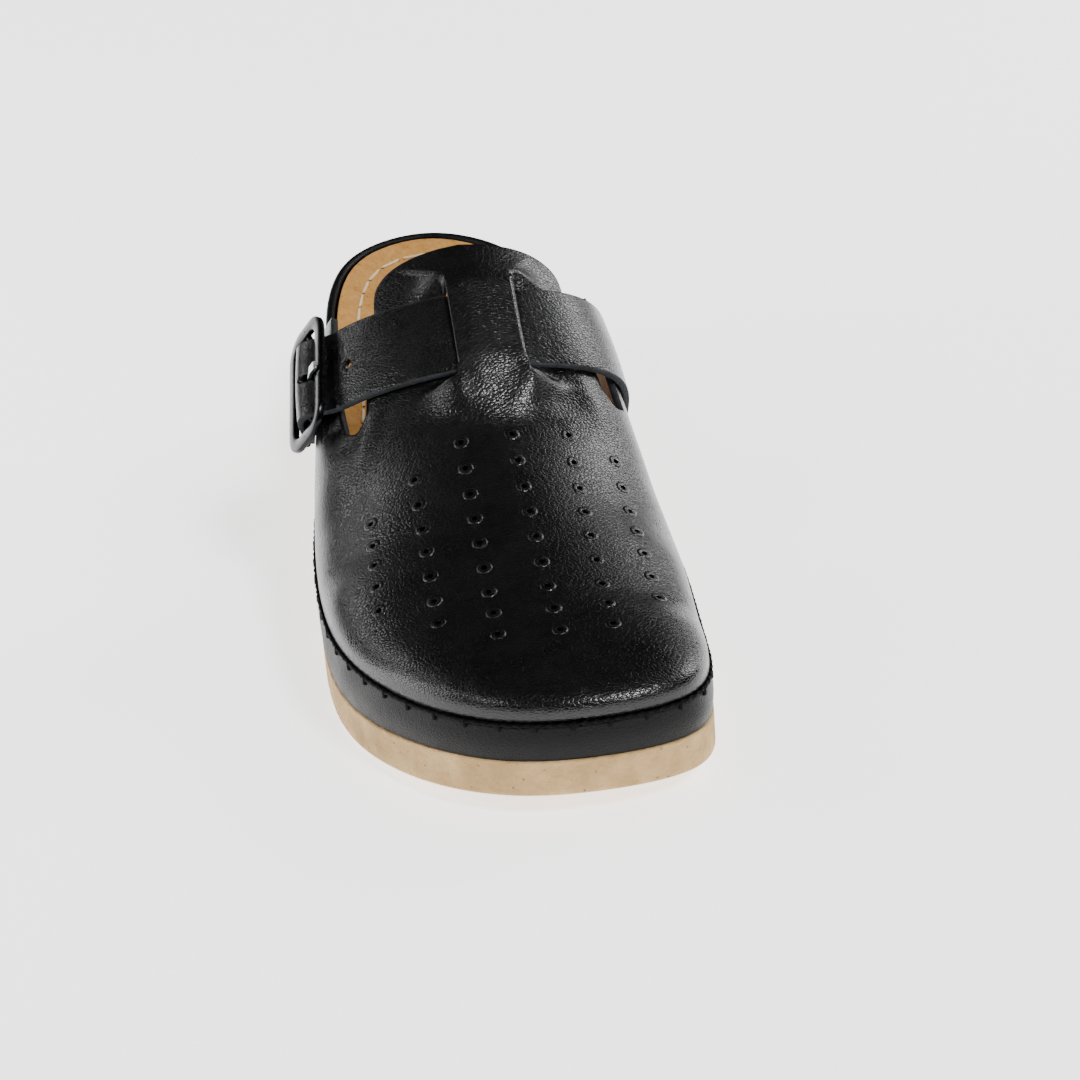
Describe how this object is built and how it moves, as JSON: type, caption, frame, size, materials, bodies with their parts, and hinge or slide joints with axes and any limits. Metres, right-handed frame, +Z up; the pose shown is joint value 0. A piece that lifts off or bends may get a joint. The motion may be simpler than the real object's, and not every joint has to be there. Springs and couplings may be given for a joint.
{
  "type": "chef clog",
  "caption": "Right-foot chef clog: foamed wedge sole, leather-wrapped footbed, hollow black leather upper with perforated toe, instep strap through tongue slots, and a metal buckle.",
  "frame": {"origin": "middle of the flat tread under the heel, on the floor", "axes": "+Y towards the heel's back (the toe points to -Y), +X to the inner (medial) side, +Z up"},
  "size_m": [0.0918, 0.2625, 0.0882],
  "materials": {
    "sole_foam": "matte moulded polyurethane foam",
    "wrap_leather": "black smooth grain",
    "sock_leather": "tan undyed lining leather",
    "upper_leather": "black polished full grain",
    "buckle_metal": "polished gunmetal",
    "prong_metal": "bright plated steel"
  },
  "bodies": {
    "root": {"outsole": "sole_foam", "footbed_band": "wrap_leather", "insole": "sock_leather", "upper": "upper_leather", "strap": "upper_leather", "buckle_frame": "buckle_metal", "buckle_prong": "prong_metal", "buckle_tab": "wrap_leather"}
  },
  "joints": []
}
